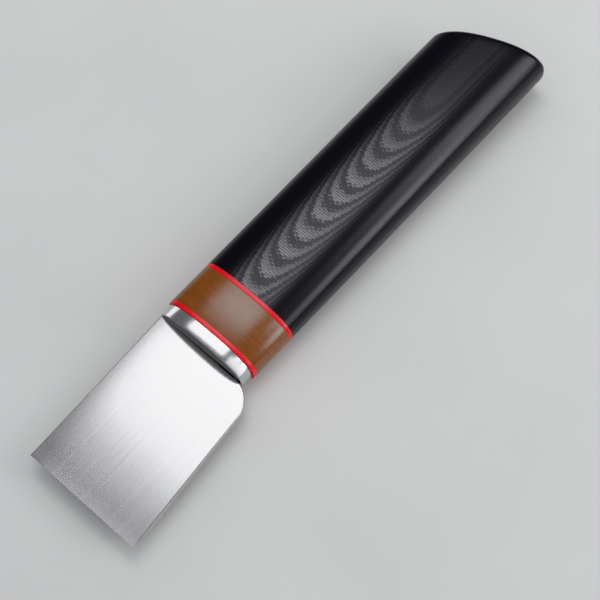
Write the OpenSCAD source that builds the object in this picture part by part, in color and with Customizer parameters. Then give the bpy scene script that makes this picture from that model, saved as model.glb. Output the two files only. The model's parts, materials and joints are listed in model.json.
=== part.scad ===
// Skiving knife for leather. A single-bevel blade with a hidden tang is bedded in epoxy
// through a polished bolster and a red-brown-red collar into a canvas micarta handle.
//
// The pieces are drawn along the blade's own plane: X = 0 is the bolster's front face,
// -X runs to the cutting edge and +X to the butt, Y lies across the knife with the
// straight side at +Y and the flared side at -Y, and +Z leaves the blade's flat side.
// seated() then tips the knife onto its tapered belly, as it lies on a bench, and puts
// the origin under the middle of its bounding box.

/* [Blade] */
// Width of the cutting edge
edge_w = 36; // [30:0.5:42]
// Cutting edge to bolster
blade_len = 49; // [40:0.5:60]
// Thickness of the blade plate
blade_t = 2.5; // [2:0.1:3.5]
// Distance from the knife's axis to the straight side at the cutting edge
straight_side_edge = 12.6; // [11:0.1:14]
// Distance from the knife's axis to the straight side at the bolster
straight_side_neck = 14; // [12:0.1:14.2]
// Angle at which the flared side opens towards the cutting edge
flare_angle = 5.2; // [2:0.1:7]
// Radius of the shoulder that joins the flared side to the bolster
shoulder_r = 8; // [5:0.5:10]
// Width of the single bevel on the underside
bevel_w = 9.5; // [7:0.5:14]
// Thickness left at the cutting edge
edge_land = 0.05; // [0.02:0.01:0.2]

/* [Tang] */
// Length of the hidden tang behind the bolster's front face
tang_len = 82; // [60:1:90]
// Width of the tang where it enters the bolster
tang_w_front = 12; // [9:0.5:13]
// Width of the tang at its rear end
tang_w_rear = 8; // [5:0.5:9]
// Thickness of the tang, ground below the blade's
tang_t = 2.1; // [1.5:0.1:2.2]
// Number of epoxy key holes through the tang
key_count = 3; // [1:1:5]
// Diameter of each epoxy key hole
key_d = 3.5; // [2:0.5:4]

/* [Collar] */
// Length of the bolster
bolster_len = 3.8; // [2.5:0.1:6]
// How far the bolster lies inside the collar at each side
bolster_step = 0.6; // [0:0.1:1]
// How far the bolster lies inside the collar at top and bottom
bolster_drop = 0.15; // [0.1:0.05:0.5]
// Thickness of each red liner
liner_t = 1.25; // [0.8:0.05:2]
// Length of the brown ferrule between the liners
ferrule_len = 12.3; // [8:0.1:18]
// Epoxy film around the tang inside the collar
slot_gap = 0.2; // [0.1:0.05:0.5]

/* [Handle] */
// Width of the handle and the collar
handle_w = 29.6; // [28.6:0.2:34]
// Thickness of the knife at the front of the collar
collar_t = 13.8; // [12:0.1:16]
// Thickness of the handle at the butt
butt_t = 17.6; // [16.4:0.1:20]
// Squareness of the oval section: 2 is an ellipse, and more is fuller at the corners
section_power = 2.5; // [2.1:0.1:3]
// Bolster's front face to the tip of the butt
handle_end = 122; // [112:1:130]
// Angle of the raked butt, measured from square across
butt_rake = 22.3; // [0:0.1:28]
// Radius of the butt's curve, seen from above
butt_curve_r = 130; // [80:5:300]
// Rounding around the butt's rim
butt_round = 2; // [1:0.25:3]
// Distance from the bolster's front face at which the straight taper ends
taper_end = 78; // [60:1:85]
// Length over which the taper eases out to level
ease_len = 22; // [10:1:25]

/* [Pocket and dowels] */
// Width of the tang pocket in the handle
pocket_w = 14; // [13.5:0.25:15]
// Height of the tang pocket in the handle
pocket_h = 4; // [3:0.25:6]
// Diameter of the two hidden alignment dowels
dowel_d = 3; // [2:0.1:3]
// Distance of each dowel from the knife's axis
dowel_y = 9.8; // [9.4:0.1:10.5]
// How far each dowel reaches into the handle
dowel_in_handle = 11; // [6:0.5:16]
// Clearance around each dowel, and at its ends
dowel_gap = 0.05; // [0.02:0.01:0.1]

/* [Hidden] */
$fn = 96;
section_steps = 96;      // points around an oval section
taper_steps = 14;        // rings along the handle before its rounded rim
rim_steps = 6;           // rings around the butt's rim
past = 1;                // how far a cut reaches past the surface that it opens
dowel_in_bolster = 2;    // depth of the blind dowel holes in the bolster's back
pocket_room = 2;         // epoxy behind the tang's end, besides the film
key_from_collar = 10;    // first key hole, from the front of the handle
key_from_end = 8;        // last key hole, from the middle of the tang's round end

collar_x = bolster_len;
ferrule_x = collar_x + liner_t;
rear_liner_x = ferrule_x + ferrule_len;
handle_x = rear_liner_x + liner_t;
half_w = handle_w/2;

// The belly and the crown open by this slope until taper_end, then ease out to level.
taper_slope = (butt_t - collar_t)/2/(taper_end + ease_len/2 - collar_x);
rest_tilt = atan(taper_slope);
axis_h = collar_t/2 - taper_slope*collar_x;   // the taper's half thickness, carried on to X = 0

// Plan view of the blade
flare = tan(flare_angle);
edge_y_low = straight_side_edge - edge_w;
function flared_side(x) = edge_y_low + flare*(x + blade_len);
shoulder_x = -shoulder_r;
shoulder_y = flared_side(shoulder_x) + shoulder_r/cos(flare_angle);

// Plan view of the butt: an arc of butt_curve_r whose chord is raked by butt_rake
rim_y = half_w - butt_round;
rim_lead = butt_round*(1/cos(butt_rake) - 1);   // how far the rounded tip leads the chord's end
rake_mid_x = handle_end - rim_lead - rim_y*tan(butt_rake);
function bulge(y) = sqrt(pow(butt_curve_r, 2) - y*y) - sqrt(pow(butt_curve_r, 2) - rim_y*rim_y);
function butt_x(y) = rake_mid_x - y*tan(butt_rake) + bulge(min(abs(y), rim_y));

// The knife's reach in the seated position, which places the origin
seated_x_low = -blade_len*cos(rest_tilt) - blade_t/2*sin(rest_tilt);
seated_x_high = handle_end*cos(rest_tilt);
seated_y_mid = (edge_y_low + half_w)/2;
seated_lift = axis_h*cos(rest_tilt);

// Half the thickness of the collar and handle at x
function half_h(x) =
    let (run = min(max((x - taper_end)/ease_len, 0), 1))
    axis_h + taper_slope*(min(x, taper_end) + ease_len*(run - run*run/2));

// A point of the oval section at angle a
function oval(a, w, h) = [
    w*sign(cos(a))*pow(abs(cos(a)), 2/section_power),
    h*sign(sin(a))*pow(abs(sin(a)), 2/section_power)
];

function section_angles() = [for (i = [0 : section_steps - 1]) i*360/section_steps];

// A ring of the body square across the knife at x
function square_ring(x) = [for (a = section_angles()) concat([x], oval(a, half_w, half_h(x)))];

// A ring of the handle at a share s of the way to the butt, and rounded by angle rim
function handle_ring(s, rim) =
    let (inset = butt_round*(1 - cos(rim)))
    [for (a = section_angles())
        let (y = oval(a, half_w - inset, 1)[0],
             x_rim = butt_x(y) - butt_round,
             x = handle_x + s*(x_rim - handle_x) + butt_round*sin(rim))
        [x, y, oval(a, 1, half_h(x) - inset)[1]]];

// A closed skin over rings of points, with both ends closed by strips across the section
module skin(rings) {
    n = section_steps;
    last = (len(rings) - 1)*n;
    sides = [for (r = [0 : len(rings) - 2], i = [0 : n - 1])
        [r*n + i, r*n + (i + 1) % n, (r + 1)*n + (i + 1) % n, (r + 1)*n + i]];
    strips = [for (i = [0 : n/2 - 1]) i == 0 ? [0, n - 1, 1]
        : i == n/2 - 1 ? [i, n - i, i + 1]
        : [i, n - i, n - i - 1, i + 1]];
    front = strips;
    back = [for (strip = strips) [for (k = [len(strip) - 1 : -1 : 0]) last + strip[k]]];
    polyhedron(points = [for (ring = rings) each ring], faces = concat(sides, front, back));
}

// Lays the knife on its belly, with the origin under the middle of its bounding box
module seated() {
    translate([-(seated_x_low + seated_x_high)/2, -seated_y_mid, seated_lift])
        rotate([0, -rest_tilt, 0]) children();
}

// A bar along X, centred in Y and Z
module bar(x0, x1, w, h) {
    translate([x0, -w/2, -h/2]) cube([x1 - x0, w, h]);
}

// A rod along X through each dowel position
module dowel_rods(x0, x1, d) {
    for (side = [-1, 1])
        translate([x0, side*dowel_y, 0]) rotate([0, 90, 0]) cylinder(d = d, h = x1 - x0);
}

module dowel_holes() {
    dowel_rods(bolster_len - dowel_in_bolster, handle_x + dowel_in_handle, dowel_d + 2*dowel_gap);
}

module tang_slot() {
    bar(-past, handle_x + past, tang_w_front + 2*slot_gap, tang_t + 2*slot_gap);
}

// The slot through the handle for the tang, with a round end
module tang_pocket(x0) {
    end_x = tang_len + slot_gap + pocket_room - pocket_w/2;
    bar(x0, end_x, pocket_w, pocket_h);
    translate([end_x, 0, -pocket_h/2]) cylinder(d = pocket_w, h = pocket_h);
}

// The hidden tang, with its epoxy key holes
module tang() {
    rear_r = tang_w_rear/2;
    round_x = tang_len - rear_r;
    key_first = handle_x + key_from_collar;
    key_pitch = (round_x - key_from_end - key_first)/max(key_count - 1, 1);
    translate([0, 0, -tang_t/2]) linear_extrude(tang_t) difference() {
        union() {
            polygon([[-past, -tang_w_front/2], [round_x, -rear_r],
                     [round_x, rear_r], [-past, tang_w_front/2]]);
            translate([round_x, 0]) circle(r = rear_r);
        }
        for (i = [0 : key_count - 1])
            translate([key_first + i*key_pitch, 0]) circle(d = key_d);
    }
}

// Plan view of the blade in front of the bolster
module blade_outline() {
    polygon([
        [-blade_len, straight_side_edge],
        [-blade_len, edge_y_low],
        [shoulder_x + shoulder_r*sin(flare_angle), shoulder_y - shoulder_r*cos(flare_angle)],
        [shoulder_x, shoulder_y],
        [0, shoulder_y],
        [0, straight_side_neck]
    ]);
    translate([shoulder_x, shoulder_y]) circle(r = shoulder_r);
}

// The wedge that the single bevel takes off the underside
module bevel_cut() {
    edge_z = blade_t/2 - edge_land;
    slope = (edge_z + blade_t/2)/bevel_w;
    translate([0, edge_w, 0]) rotate([90, 0, 0]) linear_extrude(2*edge_w) polygon([
        [-blade_len - past, edge_z + slope*past],
        [-blade_len - past, -blade_t],
        [-blade_len + bevel_w + blade_t/2/slope, -blade_t]
    ]);
}

module blade() {
    color("gainsboro") seated() {
        difference() {
            translate([0, 0, -blade_t/2]) linear_extrude(blade_t) blade_outline();
            bevel_cut();
        }
        tang();
    }
}

// An oval plate square across the knife, pierced for the tang and the dowels
module oval_plate(x0, x1, w, h) {
    seated() difference() {
        translate([x0, 0, 0]) rotate([90, 0, 90]) linear_extrude(x1 - x0)
            polygon([for (a = section_angles()) oval(a, w, h)]);
        tang_slot();
        dowel_holes();
    }
}

// A liner is so thin that its own taper is left out
module liner(x0) {
    color("crimson") oval_plate(x0, x0 + liner_t, half_w, half_h(x0 + liner_t/2));
}

module bolster() {
    color("silver") oval_plate(0, bolster_len, half_w - bolster_step, axis_h - bolster_drop);
}

module front_liner() {
    liner(collar_x);
}

module ferrule() {
    color("sienna") seated() difference() {
        skin([square_ring(ferrule_x), square_ring(rear_liner_x)]);
        tang_slot();
        dowel_holes();
    }
}

module rear_liner() {
    liner(rear_liner_x);
}

module handle() {
    color("dimgray") seated() difference() {
        skin(concat(
            [for (i = [0 : taper_steps]) handle_ring(i/taper_steps, 0)],
            [for (i = [1 : rim_steps]) handle_ring(1, i*90/rim_steps)]
        ));
        tang_pocket(handle_x - past);
        dowel_holes();
    }
}

// Cured epoxy: it fills the collar's slot and the handle's pocket around the tang
module tang_epoxy() {
    color("goldenrod") seated() difference() {
        union() {
            bar(0, handle_x, tang_w_front + 2*slot_gap, tang_t + 2*slot_gap);
            tang_pocket(handle_x);
        }
        tang();
    }
}

module alignment_dowels() {
    color("lightsteelblue") seated() dowel_rods(bolster_len - dowel_in_bolster + dowel_gap,
        handle_x + dowel_in_handle - dowel_gap, dowel_d);
}

blade();
bolster();
front_liner();
ferrule();
rear_liner();
handle();
tang_epoxy();
alignment_dowels();
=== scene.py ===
import json
import math

import bmesh
import bpy
from mathutils import Matrix, Vector


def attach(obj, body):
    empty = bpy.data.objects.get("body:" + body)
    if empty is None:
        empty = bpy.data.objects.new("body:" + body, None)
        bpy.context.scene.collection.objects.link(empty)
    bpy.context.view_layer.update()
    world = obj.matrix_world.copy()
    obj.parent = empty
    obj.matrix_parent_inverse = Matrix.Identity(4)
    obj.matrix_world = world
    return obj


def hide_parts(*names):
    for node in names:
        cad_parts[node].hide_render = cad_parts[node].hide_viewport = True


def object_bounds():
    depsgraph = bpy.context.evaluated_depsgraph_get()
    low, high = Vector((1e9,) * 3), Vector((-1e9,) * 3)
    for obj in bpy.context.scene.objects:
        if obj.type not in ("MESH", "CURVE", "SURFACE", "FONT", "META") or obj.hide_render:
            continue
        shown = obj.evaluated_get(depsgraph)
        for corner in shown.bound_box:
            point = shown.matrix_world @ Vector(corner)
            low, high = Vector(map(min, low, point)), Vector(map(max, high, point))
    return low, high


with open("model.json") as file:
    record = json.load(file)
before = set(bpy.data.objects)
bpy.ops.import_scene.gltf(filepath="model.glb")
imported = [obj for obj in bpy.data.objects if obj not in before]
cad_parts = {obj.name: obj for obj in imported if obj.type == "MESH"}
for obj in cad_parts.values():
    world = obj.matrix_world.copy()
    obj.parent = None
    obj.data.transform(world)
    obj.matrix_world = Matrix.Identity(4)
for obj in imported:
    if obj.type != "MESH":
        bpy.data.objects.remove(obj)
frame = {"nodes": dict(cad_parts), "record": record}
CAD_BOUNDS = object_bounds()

# Lengths in this script are millimetres in the knife's own axes, as in the part's source:
# X = 0 is the bolster's front face, -X runs to the cutting edge and +X to the butt, Y lies
# across and +Z leaves the blade's flat side. Meshes are made in metres in those axes, and
# finish_piece() carries them to the row frame.
MM = 0.001


# ---------------------------------------------------------------- the knife's own axes
def mount(name):
    return next(m for m in frame["record"]["mounts"] if m["name"] == name)


UP = Vector(mount("blade_flat")["axis"]).normalized()
ALONG = Vector((UP.z, 0, -UP.x))
TO_KNIFE = Matrix((ALONG, Vector((0, 1, 0)), UP))
TAPER_SLOPE = -UP.x / UP.z


def turned_box(node):
    """Lowest and highest corner of a CAD node in the knife's directions, in millimetres."""
    points = [TO_KNIFE @ v.co for v in frame["nodes"][node].data.vertices]
    low = Vector([min(p[i] for p in points) for i in range(3)])
    high = Vector([max(p[i] for p in points) for i in range(3)])
    return low / MM, high / MM


BOLSTER_LOW, BOLSTER_HIGH = turned_box("bolster")
ORIGIN = Vector((BOLSTER_LOW.x,
                 (BOLSTER_LOW.y + BOLSTER_HIGH.y) / 2,
                 (BOLSTER_LOW.z + BOLSTER_HIGH.z) / 2))
TO_ROW = TO_KNIFE.transposed()
SEAT = Matrix.Translation(TO_ROW @ ORIGIN * MM) @ TO_ROW.to_4x4()


def reach(node):
    """Lowest and highest corner of a CAD node in the knife's own axes, in millimetres."""
    low, high = turned_box(node)
    return low - ORIGIN, high - ORIGIN


def in_row(x, y, z):
    """A point of the knife's own axes, in millimetres, as a point of the row frame in metres."""
    return SEAT @ (Vector((x, y, z)) * MM)


# ---------------------------------------------------------------- sizes
BLADE_LOW, BLADE_HIGH = reach("blade")
FERRULE_LOW, FERRULE_HIGH = reach("ferrule")
HANDLE_LOW, HANDLE_HIGH = reach("handle")
FRONT_LINER_LOW, FRONT_LINER_HIGH = reach("front_liner")
REAR_LINER_LOW, REAR_LINER_HIGH = reach("rear_liner")
EPOXY_HIGH = reach("tang_epoxy")[1]
DOWEL_LOW, DOWEL_HIGH = reach("alignment_dowels")

BLADE_LEN = -BLADE_LOW.x
BLADE_T = BLADE_HIGH.z - BLADE_LOW.z
TANG_LEN = BLADE_HIGH.x
HALF_W = FERRULE_HIGH.y
BOLSTER_LEN = BOLSTER_HIGH.x - BOLSTER_LOW.x
HANDLE_X = HANDLE_LOW.x
HANDLE_END = HANDLE_HIGH.x
AXIS_H = FERRULE_HIGH.z - TAPER_SLOPE * FERRULE_HIGH.x   # half thickness carried on to X = 0

# Shape values that the frame doesn't hold, as in the part's source
EDGE_W = 36.0
FLARE = math.radians(5.2)
SHOULDER_R = 8.0
BEVEL_W = 9.5
EDGE_LAND = 0.05
TANG_W_FRONT = 12.0
TANG_W_REAR = 8.0
TANG_T = 2.1
SLOT_GAP = 0.2
SECTION_POWER = 2.5
TAPER_END = 78.0
EASE_LEN = 22.0
BUTT_RAKE = math.radians(22.3)
BUTT_CURVE_R = 130.0
BUTT_ROUND = 2.0
POCKET_W = 14.0
POCKET_H = 4.0
DOWEL_D = 3.0
DOWEL_GAP = 0.05
KEY_D = 3.5
KEY_FROM_COLLAR = 10.0   # first key hole, from the front of the handle
KEY_FROM_END = 8.0       # last key hole, from the middle of the tang's round end

BEVEL_END = BEVEL_W - BLADE_LEN   # where the bevel runs out, along X
PAST = 1.0               # how far a cut or a joined piece reaches past the surface
RIM_SOFT = 0.05          # rounding of a collar plate's rim, and the chamfer of the handle's front
BOLSTER_SOFT = 0.2       # rounding of the bolster's front rim
BLADE_SOFT = 0.28        # rounding of the blade's long corners
OVAL_POINTS = 192        # points around an oval section
HOLE_POINTS = 48         # points around a small hole
CREASE = math.radians(30)   # a sharper turn than this between two faces is shaded as an edge


# ---------------------------------------------------------------- mesh helpers
def half_h(x):
    """Half the thickness of the collar and handle at x."""
    run = min(max((x - TAPER_END) / EASE_LEN, 0), 1)
    return AXIS_H + TAPER_SLOPE * (min(x, TAPER_END) + EASE_LEN * (run - run * run / 2))


def oval(angle, w, h):
    """A point (y, z) of the oval section."""
    c, s = math.cos(angle), math.sin(angle)
    return (math.copysign(w * abs(c) ** (2 / SECTION_POWER), c),
            math.copysign(h * abs(s) ** (2 / SECTION_POWER), s))


def angles(count):
    return [2 * math.pi * i / count for i in range(count)]


def tube(bm, rings):
    """Quads between rings of points, open at both ends; gives the rings' vertices."""
    n = len(rings[0])
    verts = [[bm.verts.new(Vector(p) * MM) for p in ring] for ring in rings]
    for a, b in zip(verts, verts[1:]):
        for i in range(n):
            j = (i + 1) % n
            bm.faces.new((a[i], b[i], b[j], a[j]))
    return verts


def skin(bm, rings):
    """A tube with both ends closed by strips across the section."""
    n = len(rings[0])
    verts = tube(bm, rings)
    for ring, turn in ((verts[0], 1), (verts[-1], -1)):
        for i in range(n // 2):
            corners = [ring[i], ring[-i % n], ring[-(i + 1) % n], ring[i + 1]]
            unique = [v for k, v in enumerate(corners) if v not in corners[:k]]
            bm.faces.new(unique[::-turn])


def box(bm, x0, x1, w, h):
    """A bar along X, centred in Y and Z."""
    size = Vector((x1 - x0, w, h)) * MM
    centre = Vector(((x0 + x1) / 2, 0, 0)) * MM
    placed = Matrix.Translation(centre) @ Matrix.Diagonal(size).to_4x4()
    bmesh.ops.create_cube(bm, size=1, matrix=placed)


def rod(bm, matrix, radius, length, sides):
    """A closed cylinder along the matrix's Z axis, centred on it."""
    bmesh.ops.create_cone(bm, cap_ends=True, segments=sides, radius1=radius * MM,
                          radius2=radius * MM, depth=length * MM, matrix=matrix)


def add_object(name, bm):
    mesh = bpy.data.meshes.new(name)
    bmesh.ops.recalc_face_normals(bm, faces=bm.faces)
    bm.to_mesh(mesh)
    bm.free()
    obj = bpy.data.objects.new(name, mesh)
    bpy.context.scene.collection.objects.link(obj)
    return obj


def combine(obj, others, operation):
    """Cuts or joins other objects with this one's mesh, and removes them."""
    for other in others:
        modifier = obj.modifiers.new(operation, "BOOLEAN")
        modifier.operation = operation
        modifier.solver = "EXACT"
        modifier.object = other
    bpy.context.view_layer.update()
    evaluated = obj.evaluated_get(bpy.context.evaluated_depsgraph_get())
    mesh = bpy.data.meshes.new_from_object(evaluated)
    obj.modifiers.clear()
    obj.data = mesh
    mesh.name = obj.name
    for other in others:
        bpy.data.objects.remove(other)


def finish_piece(obj, node, materials):
    """Seats the piece in the row frame, shades and dresses it, and lets it stand for its CAD node."""
    obj.data.transform(SEAT)
    obj.data.shade_smooth()
    obj.data.set_sharp_from_angle(angle=CREASE)
    obj.data.materials.clear()
    for material in materials:
        obj.data.materials.append(material)
    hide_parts(node)
    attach(obj, "root")


# ---------------------------------------------------------------- node helpers
def new_material(name):
    material = bpy.data.materials.new(name)
    material.use_nodes = True
    tree = material.node_tree
    shader = tree.nodes["Principled BSDF"]
    return material, tree, shader


def put(tree, kind, *values, **settings):
    """A node with its inputs linked or set in order, as its first output."""
    node = tree.nodes.new(kind)
    for key, value in settings.items():
        setattr(node, key, value)
    inputs = [socket for socket in node.inputs if socket.enabled]
    for socket, value in zip(inputs, values):
        if isinstance(value, bpy.types.NodeSocket):
            tree.links.new(value, socket)
        else:
            socket.default_value = value
    return next(socket for socket in node.outputs if socket.enabled)


def maths(tree, operation, a, b=0.0, c=0.0, clamp=False):
    return put(tree, "ShaderNodeMath", a, b, c, operation=operation, use_clamp=clamp)


def place_mm(tree):
    """The point being shaded, in millimetres of the knife's own axes."""
    coords = tree.nodes.new("ShaderNodeTexCoord").outputs["Object"]
    node = tree.nodes.new("ShaderNodeMapping")
    tree.links.new(coords, node.inputs["Vector"])
    node.inputs["Location"].default_value = -ORIGIN
    node.inputs["Rotation"].default_value = TO_KNIFE.to_euler()
    node.inputs["Scale"].default_value = (1 / MM, 1 / MM, 1 / MM)
    return node.outputs[0]


def stretched(tree, place, x, y, z):
    return put(tree, "ShaderNodeVectorMath", place, (x, y, z), operation="MULTIPLY")


NOISE_REACH = (0.3, 0.7)   # the values that noise mostly takes


def noise(tree, place, scale, detail=2.0, roughness=0.5):
    """Noise between about 0.2 and 0.8, with its features 1/scale millimetres across."""
    node = tree.nodes.new("ShaderNodeTexNoise")
    tree.links.new(place, node.inputs["Vector"])
    node.inputs["Scale"].default_value = scale
    node.inputs["Detail"].default_value = detail
    node.inputs["Roughness"].default_value = roughness
    return node.outputs[0]


def span(tree, value, low, high, to_low=0.0, to_high=1.0):
    """The value mapped from one range to another, and held inside it."""
    node = tree.nodes.new("ShaderNodeMapRange")
    tree.links.new(value, node.inputs["Value"])
    ends = {"From Min": low, "From Max": high, "To Min": to_low, "To Max": to_high}
    for key, number in ends.items():
        node.inputs[key].default_value = number
    return node.outputs[0]


def blend_colour(tree, share, first, second):
    node = tree.nodes.new("ShaderNodeMix")
    node.data_type = "RGBA"
    tree.links.new(share, node.inputs[0])
    node.inputs[6].default_value = (*first, 1)
    node.inputs[7].default_value = (*second, 1)
    return node.outputs[2]


def bump(tree, shader, height, strength, distance_mm):
    node = tree.nodes.new("ShaderNodeBump")
    node.inputs["Strength"].default_value = strength
    node.inputs["Distance"].default_value = distance_mm * MM
    tree.links.new(height, node.inputs["Height"])
    tree.links.new(node.outputs[0], shader.inputs["Normal"])


# ---------------------------------------------------------------- materials
STEEL_DARK, STEEL_BRIGHT = 0.93, 1.06   # a grinding line's tone, against the steel's own


def brushed_steel(name, tone, lines, rough, line_depth):
    """Stainless steel with grinding lines: lines is how dense they are along X, Y and Z."""
    material, tree, shader = new_material(name)
    place = place_mm(tree)
    streaks = noise(tree, stretched(tree, place, *lines), 1.0, detail=6, roughness=0.65)
    broad = noise(tree, stretched(tree, place, *(line / 6 for line in lines)), 1.0, detail=3)
    clouds = noise(tree, place, 0.06, detail=2)
    mixed = maths(tree, "MULTIPLY_ADD", broad, 0.5, maths(tree, "MULTIPLY", streaks, 0.5))
    dark = [channel * STEEL_DARK for channel in tone]
    bright = [min(channel * STEEL_BRIGHT, 1) for channel in tone]
    tree.links.new(blend_colour(tree, span(tree, mixed, *NOISE_REACH), dark, bright),
                   shader.inputs["Base Color"])
    scuffed = maths(tree, "MULTIPLY_ADD", clouds, 0.2, maths(tree, "MULTIPLY", streaks, 0.8))
    tree.links.new(span(tree, scuffed, *NOISE_REACH, rough * 0.85, rough * 1.15),
                   shader.inputs["Roughness"])
    shader.inputs["Metallic"].default_value = 1.0
    bump(tree, shader, streaks, 0.2, line_depth)
    return material


RESIN_IOR = 1.8   # above a real resin's, about 1.5, to give the laminates their strong sheen


def sanded_resin(name, dark, bright, rough, gloss, line_depth):
    """A dense laminate, sanded across the knife, with a faint cloudy body colour."""
    material, tree, shader = new_material(name)
    place = place_mm(tree)
    lines = noise(tree, stretched(tree, place, 4.5, 0.07, 0.12), 1.0, detail=4, roughness=0.7)
    clouds = noise(tree, place, 0.5, detail=4)
    body = maths(tree, "MULTIPLY_ADD", lines, 0.55, maths(tree, "MULTIPLY", clouds, 0.45))
    tree.links.new(blend_colour(tree, span(tree, body, 0.36, 0.64), dark, bright),
                   shader.inputs["Base Color"])
    tree.links.new(span(tree, lines, *NOISE_REACH, rough * 0.88, rough * 1.12),
                   shader.inputs["Roughness"])
    shader.inputs["IOR"].default_value = RESIN_IOR
    shader.inputs["Specular IOR Level"].default_value = gloss
    shader.inputs["Specular Tint"].default_value = (0.65, 0.93, 1.0, 1)
    bump(tree, shader, lines, 0.3, line_depth)
    return material


LAYER_T = 0.174        # thickness of one canvas layer
LAYER_LEAN = -0.003    # climb of the layers for each millimetre towards the butt: they sink
LEAN_END = 84.0        # where that stops
THREAD_PITCH = 0.68    # from one row of threads to the next, along X and Y
THREAD_RISE = 0.022    # how far a thread rises through its layer
LAYER_WAVE = 0.045     # slow waviness of the pressed stack
CLOTH_BAND = (-0.45, 1.25)   # the stretch of a layer's wave over which the cloth comes out
LEAST_CLOTH = 0.13     # how much of it shows between two bands
SECOND_LINE = 0.3      # strength of the fainter line inside each layer
SECOND_PHASE = 0.8     # and its place
ROW_MEAN = 0.72        # how much cloth a row of threads shows on average
ROW_ACROSS = 0.32      # how far that swings along X
ROW_ALONG = 0.10       # and along Y
CLOTH_SPECKLE = (0.7, 1.3)   # uneven soaking of the cloth
FADE = (58.0, 92.0)    # over this stretch of X the canvas fades out towards the butt
PAINTED_SHEEN_SIDES = (1.0, 7.5)   # and over this stretch of Y, to either side: painted sheen, the crown's middle keeps the lighter, glossier cloth and the flanks are darkened
FADED_CLOTH = 0.13      # how much of it still shows there
FADE_DEPTH = 0.85            # how fully it fades
CANVAS_ROUGH = (0.30, 0.34)   # roughness of resin and of cloth
CANVAS_GLOSS = (0.28, 1.45)   # specular level of resin and of cloth


def wave(tree, value, period, phase=0.0):
    """A sine of that period, between -1 and 1."""
    return maths(tree, "SINE", maths(tree, "MULTIPLY_ADD", value, 2 * math.pi / period, phase))


def canvas_micarta(name, resin, thread):
    """Canvas in black resin: the crowned surface cuts the layers into nested bands, with
    the threads showing as rows across the knife. The threads are glossier than the resin."""
    material, tree, shader = new_material(name)
    place = place_mm(tree)
    split = tree.nodes.new("ShaderNodeSeparateXYZ")
    tree.links.new(place, split.inputs[0])
    x, y, z = split.outputs
    wobble = noise(tree, stretched(tree, place, 0.05, 0.09, 0.2), 1.0, detail=2)
    ripple = noise(tree, stretched(tree, place, 0.8, 0.8, 0.8), 1.0, detail=3)
    crossing = maths(tree, "MULTIPLY",
                     wave(tree, x, 2 * THREAD_PITCH), wave(tree, y, 3 * THREAD_PITCH, 1.0))
    climb = span(tree, x, 0.0, LEAN_END, 0.0, LEAN_END * LAYER_LEAN)
    depth = maths(tree, "SUBTRACT", z, climb)
    depth = maths(tree, "MULTIPLY_ADD", crossing, THREAD_RISE, depth)
    depth = maths(tree, "MULTIPLY_ADD", wobble, 2 * LAYER_WAVE, depth)
    depth = maths(tree, "MULTIPLY_ADD", ripple, LAYER_WAVE, depth)
    band = maths(tree, "MULTIPLY_ADD", wave(tree, depth, LAYER_T / 2, SECOND_PHASE), SECOND_LINE,
                 wave(tree, depth, LAYER_T))
    rows = maths(tree, "MULTIPLY_ADD", wave(tree, x, THREAD_PITCH), ROW_ACROSS, ROW_MEAN)
    rows = maths(tree, "MULTIPLY_ADD", wave(tree, y, THREAD_PITCH), ROW_ALONG, rows)
    cloth = maths(tree, "MULTIPLY", span(tree, band, *CLOTH_BAND, LEAST_CLOTH), rows)
    speckle = span(tree, noise(tree, place, 1.6, detail=3), *NOISE_REACH, *CLOTH_SPECKLE)
    cloth = maths(tree, "MULTIPLY", cloth, speckle)
    # Painted sheen: the cloth's lighter, glossier colour fades out to either side of the crown's middle,
    # so the crown is painted lighter than its flanks. Along X the cloth fades out towards the butt.
    faded_behind = span(tree, x, *FADE)
    painted_sheen_beside = span(tree, maths(tree, "ABSOLUTE", y), *PAINTED_SHEEN_SIDES)
    fade_and_painted_sheen = maths(tree, "MAXIMUM", faded_behind, painted_sheen_beside)
    cloth = maths(tree, "MULTIPLY_ADD", maths(tree, "SUBTRACT", FADED_CLOTH, cloth),
                  maths(tree, "MULTIPLY", fade_and_painted_sheen, FADE_DEPTH), cloth, clamp=True)
    tree.links.new(blend_colour(tree, cloth, resin, thread), shader.inputs["Base Color"])
    tree.links.new(span(tree, cloth, 0.0, 1.0, *CANVAS_ROUGH), shader.inputs["Roughness"])
    tree.links.new(span(tree, cloth, 0.0, 1.0, *CANVAS_GLOSS), shader.inputs["Specular IOR Level"])
    shader.inputs["IOR"].default_value = RESIN_IOR
    shader.inputs["Specular Tint"].default_value = (0.98, 0.95, 1.0, 1)
    bump(tree, shader, cloth, 0.12, 0.02)
    return material


def cured_epoxy(name):
    material, tree, shader = new_material(name)
    place = place_mm(tree)
    haze = noise(tree, place, 0.8, detail=3)
    amber = blend_colour(tree, span(tree, haze, *NOISE_REACH), (0.45, 0.27, 0.07), (0.62, 0.42, 0.14))
    tree.links.new(amber, shader.inputs["Base Color"])
    tree.links.new(span(tree, haze, *NOISE_REACH, 0.12, 0.2), shader.inputs["Roughness"])
    bump(tree, shader, haze, 0.2, 0.02)
    return material


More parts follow.
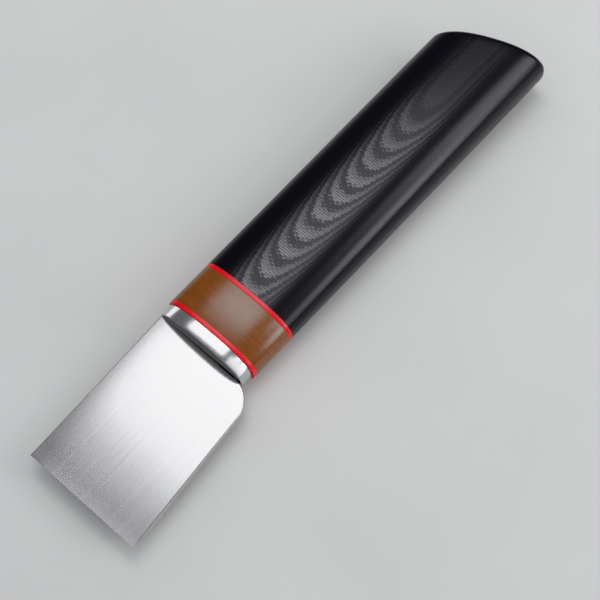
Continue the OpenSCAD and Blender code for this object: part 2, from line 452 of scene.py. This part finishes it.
BLADE_STEEL = brushed_steel("blade_steel", (0.68, 0.68, 0.69), (0.05, 9.0, 9.0), 0.19, 0.0018)
BEVEL_STEEL = brushed_steel("honed_bevel", (0.74, 0.74, 0.75), (0.35, 14.0, 14.0), 0.17, 0.002)
BOLSTER_STEEL = brushed_steel("bolster_steel", (0.66, 0.66, 0.67), (0.3, 10.0, 10.0), 0.18, 0.001)
DOWEL_STEEL = brushed_steel("dowel_steel", (0.60, 0.60, 0.62), (8.0, 0.4, 0.4), 0.25, 0.002)
RED_FIBRE = sanded_resin("red_fibre", (0.82, 0.006, 0.010), (0.94, 0.012, 0.018), 0.34, 0.55, 0.004)
BROWN_MICARTA = sanded_resin("brown_micarta", (0.25, 0.061, 0.001), (0.33, 0.092, 0.003), 0.29, 0.8,
                             0.004)
BLACK_MICARTA = canvas_micarta("black_micarta", (0.004, 0.004, 0.005), (0.018, 0.018, 0.021))
EPOXY = cured_epoxy("cured_epoxy")


# ---------------------------------------------------------------- blade
def flared_side(x):
    return BLADE_LOW.y + math.tan(FLARE) * (x + BLADE_LEN)


def blade_sides():
    """Pairs of points with their outward directions, from the cutting edge to the bolster:
    one on the straight side and one on the flared side and its shoulder."""
    centre = Vector((-SHOULDER_R, flared_side(-SHOULDER_R) + SHOULDER_R / math.cos(FLARE)))
    tangent_x = centre.x + SHOULDER_R * math.sin(FLARE)
    y_edge = BLADE_LOW.y + EDGE_W
    y_neck = BLADE_HIGH.y
    lean = math.atan2(y_neck - y_edge, BLADE_LEN)

    def straight_side(x):
        y = y_neck + (y_neck - y_edge) / BLADE_LEN * x
        return Vector((x, y)), Vector((-math.sin(lean), math.cos(lean)))

    bevel_steps, body_steps, arc_steps = 6, 14, 28
    stations = [-BLADE_LEN + BEVEL_W * i / bevel_steps for i in range(bevel_steps)]
    stations += [BEVEL_END + (tangent_x - BEVEL_END) * i / body_steps for i in range(body_steps)]
    outward = Vector((math.sin(FLARE), -math.cos(FLARE)))
    pairs = [(straight_side(x), (Vector((x, flared_side(x))), outward)) for x in stations]
    for i in range(arc_steps + 1):
        turn = FLARE + (math.pi / 2 - FLARE) * i / arc_steps
        direction = Vector((math.sin(turn), -math.cos(turn)))
        pairs.append((straight_side(tangent_x * (1 - i / arc_steps)),
                      (centre + SHOULDER_R * direction, direction)))
    return pairs


def blade_ring(straight, flared):
    """The closed section of the blade between two side points, with softened corners."""
    corner_steps, thin_share = 4, 0.45   # where the blade is thin, the rounding shrinks with it
    top = BLADE_T / 2

    def underside(x):
        rise = (BLADE_T - EDGE_LAND) * (1 - (x + BLADE_LEN) / BEVEL_W)
        return -top + max(rise, 0)

    ring = []
    for (point, outward), order in ((straight, 1), (flared, -1)):
        low = underside(point.x)
        r = min(BLADE_SOFT, thin_share * (top - low))
        corners = []
        for k in range(corner_steps + 1):
            turn = math.pi / 2 * k / corner_steps
            inset = outward * (-r + r * math.sin(turn))
            corners.append((point.x + inset.x, point.y + inset.y, top - r + r * math.cos(turn)))
        for k in range(corner_steps + 1):
            turn = math.pi / 2 * k / corner_steps
            inset = outward * (-r + r * math.cos(turn))
            corners.append((point.x + inset.x, point.y + inset.y, low + r - r * math.sin(turn)))
        ring += corners[::order]
    return ring


def tang_key_places():
    """Middles of the epoxy key holes through the tang."""
    first = HANDLE_X + KEY_FROM_COLLAR
    last = TANG_LEN - TANG_W_REAR / 2 - KEY_FROM_END
    return [first, (first + last) / 2, last]


def tapered_tang():
    bm = bmesh.new()
    round_x = TANG_LEN - TANG_W_REAR / 2
    outline = [(-PAST, TANG_W_FRONT / 2), (-PAST, -TANG_W_FRONT / 2)]
    arc_steps = 24
    for i in range(arc_steps + 1):
        turn = math.pi * i / arc_steps - math.pi / 2
        outline.append((round_x + TANG_W_REAR / 2 * math.cos(turn), TANG_W_REAR / 2 * math.sin(turn)))
    face = bm.faces.new([bm.verts.new(Vector((x, y, -TANG_T / 2)) * MM) for x, y in outline])
    raised = bmesh.ops.extrude_face_region(bm, geom=[face])["geom"]
    verts = [v for v in raised if isinstance(v, bmesh.types.BMVert)]
    bmesh.ops.translate(bm, verts=verts, vec=Vector((0, 0, TANG_T)) * MM)
    return add_object("tang", bm)


def hole_cutters(places, diameter, length, sides=HOLE_POINTS):
    bm = bmesh.new()
    for x, y in places:
        rod(bm, Matrix.Translation(Vector((x, y, 0)) * MM), diameter / 2, length, sides)
    return add_object("holes", bm)


def build_blade():
    bm = bmesh.new()
    verts = tube(bm, [blade_ring(*pair) for pair in blade_sides()])
    bm.faces.new(verts[0])
    bm.faces.new(verts[-1][::-1])
    obj = add_object("blade_with_tang", bm)
    combine(obj, [tapered_tang()], "UNION")
    key_cut = 6.0   # well over the tang's thickness
    combine(obj, [hole_cutters([(x, 0) for x in tang_key_places()], KEY_D, key_cut)], "DIFFERENCE")
    finish_piece(obj, "blade", [BLADE_STEEL, BEVEL_STEEL])
    bevel_end = in_row(BEVEL_END, 0, 0).x
    facing_down = -0.9
    for polygon in obj.data.polygons:
        on_bevel = polygon.center.x < bevel_end and polygon.normal.z < facing_down
        polygon.material_index = 1 if on_bevel else 0


# ---------------------------------------------------------------- collar and handle
def rounded_plate(x0, x1, w, h_at, front_soft):
    """Rings of an oval plate whose rims are rounded, by front_soft at x0 and RIM_SOFT at x1."""
    rim_steps = 4
    rings = []
    for end, soft, side in ((x0, front_soft, 1), (x1, RIM_SOFT, -1)):
        rim = []
        for k in range(rim_steps + 1):
            turn = math.pi / 2 * k / rim_steps
            inset = soft * (1 - math.sin(turn))
            x = end + side * soft * (1 - math.cos(turn))
            rim.append([(x, *oval(a, w - inset, h_at(x) - inset)) for a in angles(OVAL_POINTS)])
        rings += rim[::side]
    return rings


def slot_cutter():
    bm = bmesh.new()
    box(bm, -PAST, HANDLE_X + PAST, TANG_W_FRONT + 2 * SLOT_GAP, TANG_T + 2 * SLOT_GAP)
    return add_object("slot", bm)


def dowel_cutter():
    bm = bmesh.new()
    low, high = DOWEL_LOW.x - DOWEL_GAP, DOWEL_HIGH.x + DOWEL_GAP
    y = DOWEL_HIGH.y - DOWEL_D / 2
    for side in (-1, 1):
        middle = Vector(((low + high) / 2, side * y, 0)) * MM
        turned = Matrix.Translation(middle) @ Matrix.Rotation(math.pi / 2, 4, "Y")
        rod(bm, turned, DOWEL_D / 2 + DOWEL_GAP, high - low, HOLE_POINTS)
    return add_object("dowel_holes", bm)


def pocket_cutter():
    bar = bmesh.new()
    end_x = EPOXY_HIGH.x - POCKET_W / 2
    box(bar, HANDLE_X - PAST, end_x, POCKET_W, POCKET_H)
    pocket = add_object("pocket", bar)
    combine(pocket, [hole_cutters([(end_x, 0)], POCKET_W, POCKET_H, 2 * HOLE_POINTS)], "UNION")
    return pocket


def build_plate(name, node, material, low, high, w, h_at, front_soft=RIM_SOFT):
    bm = bmesh.new()
    skin(bm, rounded_plate(low.x, high.x, w, h_at, front_soft))
    obj = add_object(name, bm)
    combine(obj, [slot_cutter(), dowel_cutter()], "DIFFERENCE")
    finish_piece(obj, node, [material])


def butt_x(y):
    """The butt's outline, seen from above: an arc on a raked chord."""
    rim_y = HALF_W - BUTT_ROUND
    middle = HANDLE_END - rim_y * math.tan(BUTT_RAKE) - BUTT_ROUND * (1 / math.cos(BUTT_RAKE) - 1)
    reach_y = min(abs(y), rim_y)
    bulge = math.sqrt(BUTT_CURVE_R ** 2 - reach_y ** 2) - math.sqrt(BUTT_CURVE_R ** 2 - rim_y ** 2)
    return middle - y * math.tan(BUTT_RAKE) + bulge


def handle_ring(share, rim, front_inset=0.0):
    """A ring of the handle at a share of the way to the butt, or turned around its rim."""
    inset = BUTT_ROUND * (1 - math.cos(rim)) + front_inset
    ring = []
    for a in angles(OVAL_POINTS):
        y = oval(a, HALF_W - inset, 1)[0]
        x = HANDLE_X + share * (butt_x(y) - BUTT_ROUND - HANDLE_X) + BUTT_ROUND * math.sin(rim)
        ring.append((x, y, oval(a, 1, half_h(x) - inset)[1]))
    return ring


def build_handle():
    body_steps, rim_steps = 60, 12
    just_behind = 0.0005 / body_steps   # the share of the way at which the front rim's chamfer ends
    rings = [handle_ring(0, 0, RIM_SOFT), handle_ring(just_behind, 0)]
    rings += [handle_ring(i / body_steps, 0) for i in range(1, body_steps + 1)]
    rings += [handle_ring(1, math.pi / 2 * i / rim_steps) for i in range(1, rim_steps + 1)]
    bm = bmesh.new()
    skin(bm, rings)
    obj = add_object("handle_micarta", bm)
    combine(obj, [pocket_cutter(), dowel_cutter()], "DIFFERENCE")
    finish_piece(obj, "handle", [BLACK_MICARTA])


def dress_hidden(node, material):
    """A CAD node that stays, with a better material."""
    obj = frame["nodes"][node]
    obj.data.materials.clear()
    obj.data.materials.append(material)


build_blade()
build_plate("bolster_collar", "bolster", BOLSTER_STEEL, Vector((0, 0, 0)),
            Vector((BOLSTER_LEN, 0, 0)), (BOLSTER_HIGH.y - BOLSTER_LOW.y) / 2,
            lambda x: (BOLSTER_HIGH.z - BOLSTER_LOW.z) / 2, BOLSTER_SOFT)
build_plate("front_red_liner", "front_liner", RED_FIBRE,
            FRONT_LINER_LOW, FRONT_LINER_HIGH, HALF_W, half_h)
build_plate("ferrule_block", "ferrule", BROWN_MICARTA,
            FERRULE_LOW, FERRULE_HIGH, HALF_W, half_h)
build_plate("rear_red_liner", "rear_liner", RED_FIBRE,
            REAR_LINER_LOW, REAR_LINER_HIGH, HALF_W, half_h)
build_handle()
dress_hidden("tang_epoxy", EPOXY)
dress_hidden("alignment_dowels", DOWEL_STEEL)


# ---------------------------------------------------------------- floor, light and camera
def build_floor():
    material, tree, shader = new_material("pale_floor")
    place = place_mm(tree)
    mottle = noise(tree, place, 0.02, detail=4)
    pale = blend_colour(tree, span(tree, mottle, *NOISE_REACH), (0.74, 0.74, 0.735), (0.78, 0.78, 0.775))
    tree.links.new(pale, shader.inputs["Base Color"])
    shader.inputs["Roughness"].default_value = 0.85
    bm = bmesh.new()
    half_side = 2.0   # metres
    bmesh.ops.create_grid(bm, x_segments=4, y_segments=4, size=half_side)
    mesh = bpy.data.meshes.new("floor")
    bm.to_mesh(mesh)
    bm.free()
    mesh.materials.append(material)
    floor = bpy.data.objects.new("floor", mesh)
    bpy.context.scene.collection.objects.link(floor)
    floor.location.z = CAD_BOUNDS[0][2]


def softbox(name, centre, target, width, height, radiance):
    """A soft area light, placed and aimed in the knife's own axes, as bright as its radiance.
    Its width lies along the knife, as nearly as facing the target allows."""
    light = bpy.data.lights.new(name, "AREA")
    light.shape = "RECTANGLE"
    light.size = width * MM
    light.size_y = height * MM
    light.energy = radiance * math.pi * light.size * light.size_y
    obj = bpy.data.objects.new(name, light)
    bpy.context.scene.collection.objects.link(obj)
    back = (Vector(centre) - Vector(target)).normalized()
    right = Vector((1, 0, 0))
    right = (right - back * right.dot(back)).normalized()
    turn = Matrix((right, back.cross(right), back)).transposed()
    obj.matrix_world = SEAT @ Matrix.Translation(Vector(centre) * MM) @ turn.to_4x4()
    obj.visible_camera = False
    return obj


# Each light: name, centre, target, width, height, radiance
WHOLE_KNIFE_LIGHTS = (
    ("overhead_softbox", (245, 180, 700), (245, 180, 0), 300, 452, 2.1),
    ("upper_side_card", (345, -331, 576), (80, -10, 6), 130, 375, 0.25),
    ("side_strip", (215, -412, 222), (215, 0, 222), 170, 240, 2.8),
    ("rear_side_softbox", (430, -412, 560), (430, 0, 560), 250, 680, 2.2),
)
BOLSTER_CARDS = (
    ("right_card", (93, -308, 254), (2, -8, 6), 130, 590, 1.1),
    ("left_card", (70, 299, 62), (2, 12, 6), 130, 116, 1.3),
)
FLOOR_FILL = ("floor_fill", (40, 0, 1200), (40, 0, 0), 900, 900, 1.0)
STUDIO_LEVEL = 0.45
STUDIO_LEVEL_IN_GLOSS = 0.22
STUDIO_TINT = (0.95, 0.97, 1.0, 1)


def build_lights():
    """Four soft lights for the whole knife, two cards for the bolster alone, and a fill that
    lights the floor and isn't mirrored."""
    for softbox_values in WHOLE_KNIFE_LIGHTS:
        softbox(*softbox_values)
    polished = bpy.data.collections.new("lit_by_cards")
    polished.objects.link(bpy.data.objects["bolster_collar"])
    for card_values in BOLSTER_CARDS:
        softbox(*card_values).light_linking.receiver_collection = polished
    fill = softbox(*FLOOR_FILL)
    fill.visible_glossy = False
    world = bpy.data.worlds.new("studio")
    bpy.context.scene.world = world
    world.use_nodes = True
    background = world.node_tree.nodes["Background"]
    background.inputs["Color"].default_value = STUDIO_TINT
    # Glossy rays see a darker studio than the others, so that steel and handle keep deep tones
    path = world.node_tree.nodes.new("ShaderNodeLightPath")
    level = world.node_tree.nodes.new("ShaderNodeMapRange")
    level.inputs["To Min"].default_value = STUDIO_LEVEL
    level.inputs["To Max"].default_value = STUDIO_LEVEL_IN_GLOSS
    world.node_tree.links.new(path.outputs["Is Glossy Ray"], level.inputs["Value"])
    world.node_tree.links.new(level.outputs[0], background.inputs["Strength"])
    bpy.context.scene.view_settings.view_transform = "Khronos PBR Neutral"


def build_camera():
    """The camera looks at a point beside the ferrule from in front of the edge, to the
    flared side, and is rolled so that the knife runs up to the right."""
    lean_front, lean_side, roll = math.radians(16.7), math.radians(16.7), math.radians(46.0)
    target, distance, focal = Vector((27.3, -9.6, 0)), 456.1, 105.56
    back = Vector((-math.tan(lean_front), -math.tan(lean_side), 1)).normalized()
    level = (Vector((1, 0, 0)) - back * back.x).normalized()
    rise = back.cross(level)
    right = math.cos(roll) * level - math.sin(roll) * rise
    top = math.sin(roll) * level + math.cos(roll) * rise
    data = bpy.data.cameras.new("camera")
    data.lens = focal
    data.sensor_width = 36
    data.clip_start = 0.01
    camera = bpy.data.objects.new("camera", data)
    bpy.context.scene.collection.objects.link(camera)
    turn = Matrix((right, top, back)).transposed()
    camera.matrix_world = SEAT @ Matrix.Translation((target + back * distance) * MM) @ turn.to_4x4()
    bpy.context.scene.camera = camera


build_floor()
build_lights()
build_camera()
